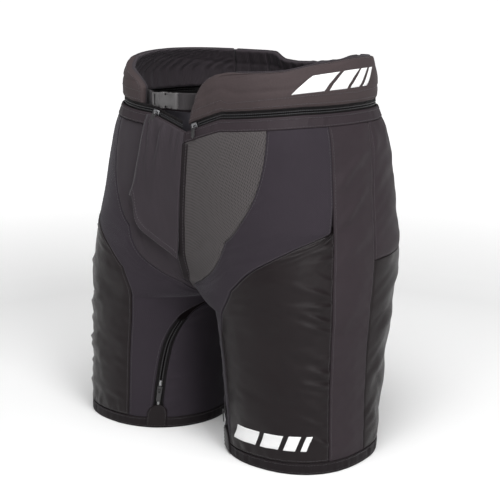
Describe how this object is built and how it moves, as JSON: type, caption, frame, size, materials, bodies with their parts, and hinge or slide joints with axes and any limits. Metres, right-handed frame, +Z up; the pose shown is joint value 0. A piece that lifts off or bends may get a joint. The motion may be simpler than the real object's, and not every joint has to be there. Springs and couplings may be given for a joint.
{
  "type": "ice hockey pants",
  "caption": "Padded ice hockey pants: fabric shell with zip-open inner thighs, hung by a waist zip from a foam belt with a strap buckle.",
  "frame": {"origin": "on the floor, under the middle of the whole, where the two hems stand", "axes": "+Z up, the wearer faces -Y, the wearer's left leg is on +X"},
  "size_m": [0.4116, 0.2692, 0.4717],
  "materials": {
    "thigh_nylon": "smooth woven nylon with a soft shine",
    "side_nylon": "woven nylon, slightly creased",
    "stretch_knit": "matte ribbed stretch knit",
    "shield_mesh": "fine ribbed mesh",
    "fly_woven": "matte woven",
    "hem_fabric": "bias-bound dark fabric",
    "belt_cover": "smooth brushed cover cloth",
    "belt_lining": "gathered stretch lining",
    "foam": "closed-cell foam in thin cloth",
    "pad_cap": "moulded pad shell",
    "webbing": "woven webbing",
    "buckle_plastic": "moulded acetal",
    "zip_teeth": "moulded teeth on tape",
    "zip_metal": "plated die casting"
  },
  "bodies": {
    "pants": {"left_fly_shield": "shield_mesh", "right_fly_panel": "fly_woven", "left_stretch_yoke": "stretch_knit", "left_thigh_panel": "thigh_nylon", "right_stretch_yoke": "stretch_knit", "right_thigh_panel": "thigh_nylon", "left_side_panel": "side_nylon", "right_side_panel": "side_nylon", "left_seat_panel": "side_nylon", "right_seat_panel": "side_nylon", "left_back_thigh_panel": "thigh_nylon", "right_back_thigh_panel": "thigh_nylon", "left_inner_thigh_panel": "stretch_knit", "right_inner_thigh_panel": "stretch_knit", "left_hem_band": "hem_fabric", "right_hem_band": "hem_fabric", "left_waistband": "side_nylon", "right_waistband": "side_nylon", "centre_front_tape": "hem_fabric", "left_belt_cover": "belt_cover", "right_belt_cover": "belt_cover", "back_belt_cover": "belt_cover", "left_belt_foam": "foam", "right_belt_foam": "foam", "back_belt_foam": "foam", "left_belt_lining": "belt_lining", "right_belt_lining": "belt_lining", "back_belt_lining": "belt_lining", "left_waist_zip_lower": "zip_teeth", "right_waist_zip_lower": "zip_teeth", "left_waist_zip_upper": "zip_teeth", "right_waist_zip_upper": "zip_teeth", "left_thigh_zip_front": "zip_teeth", "right_thigh_zip_front": "zip_teeth", "left_thigh_zip_back": "zip_teeth", "right_thigh_zip_back": "zip_teeth", "left_zip_tab": "thigh_nylon", "right_zip_tab": "thigh_nylon", "left_strap": "webbing", "right_strap": "webbing", "buckle_housing": "buckle_plastic", "buckle_insert": "buckle_plastic", "front_underlay": "stretch_knit", "left_thigh_cap": "pad_cap", "left_thigh_foam": "foam", "right_thigh_cap": "pad_cap", "right_thigh_foam": "foam", "left_hip_foam": "foam", "right_hip_foam": "foam", "tail_foam": "foam"},
    "left_waist_slider": {"left_waist_zip_slider": "zip_metal"},
    "left_waist_pull": {"left_waist_zip_pull": "zip_metal"},
    "left_thigh_slider": {"left_thigh_zip_slider": "zip_metal"},
    "left_thigh_pull": {"left_thigh_zip_pull": "zip_metal"},
    "right_waist_slider": {"right_waist_zip_slider": "zip_metal"},
    "right_waist_pull": {"right_waist_zip_pull": "zip_metal"},
    "right_thigh_slider": {"right_thigh_zip_slider": "zip_metal"},
    "right_thigh_pull": {"right_thigh_zip_pull": "zip_metal"},
    "upper_buckle_arm": {"upper_buckle_arm": "buckle_plastic"},
    "lower_buckle_arm": {"lower_buckle_arm": "buckle_plastic"}
  },
  "joints": [
    {"name": "left_waist_zip_run", "type": "slide", "parent": "pants", "child": "left_waist_slider", "axis": [0.9461, -0.0276, 0.3227], "range_m": [0, 0.0365]},
    {"name": "left_waist_pull_flip", "type": "hinge", "parent": "left_waist_slider", "child": "left_waist_pull", "pos_m": [0.0125, -0.11332, 0.39441], "axis": [-0.9461, 0.0276, -0.3227], "range_deg": [0, 130]},
    {"name": "left_thigh_zip_run", "type": "slide", "parent": "pants", "child": "left_thigh_slider", "axis": [-0.1523, 0.0749, 0.9855], "range_m": [0, 0.042]},
    {"name": "left_thigh_pull_flip", "type": "hinge", "parent": "left_thigh_slider", "child": "left_thigh_pull", "pos_m": [0.05262, -0.10882, 0.05183], "axis": [-0.7258, 0.6683, -0.163], "range_deg": [0, 150]},
    {"name": "right_waist_zip_run", "type": "slide", "parent": "pants", "child": "right_waist_slider", "axis": [0.9461, 0.0276, -0.3227], "range_m": [0, 0.0365]},
    {"name": "right_waist_pull_flip", "type": "hinge", "parent": "right_waist_slider", "child": "right_waist_pull", "pos_m": [-0.04692, -0.11432, 0.40615], "axis": [-0.9461, -0.0276, 0.3227], "range_deg": [0, 130]},
    {"name": "right_thigh_zip_run", "type": "slide", "parent": "pants", "child": "right_thigh_slider", "axis": [0.1523, 0.0749, 0.9855], "range_m": [0, 0.042]},
    {"name": "right_thigh_pull_flip", "type": "hinge", "parent": "right_thigh_slider", "child": "right_thigh_pull", "pos_m": [-0.05262, -0.10882, 0.05183], "axis": [-0.7258, -0.6683, 0.163], "range_deg": [0, 150]},
    {"name": "upper_arm_squeeze", "type": "hinge", "parent": "pants", "child": "upper_buckle_arm", "pos_m": [-0.0445, -0.10484, 0.4246], "axis": [0, 1, 0], "range_deg": [0, 7], "stiffness_Nm_per_rad": 0.02},
    {"name": "lower_arm_squeeze", "type": "hinge", "parent": "pants", "child": "lower_buckle_arm", "pos_m": [-0.0445, -0.10484, 0.4164], "axis": [0, 1, 0], "range_deg": [-7, 0], "stiffness_Nm_per_rad": 0.02}
  ],
  "couplings": [
    {"joint": "lower_arm_squeeze", "follows": "upper_arm_squeeze", "ratio": -1}
  ]
}
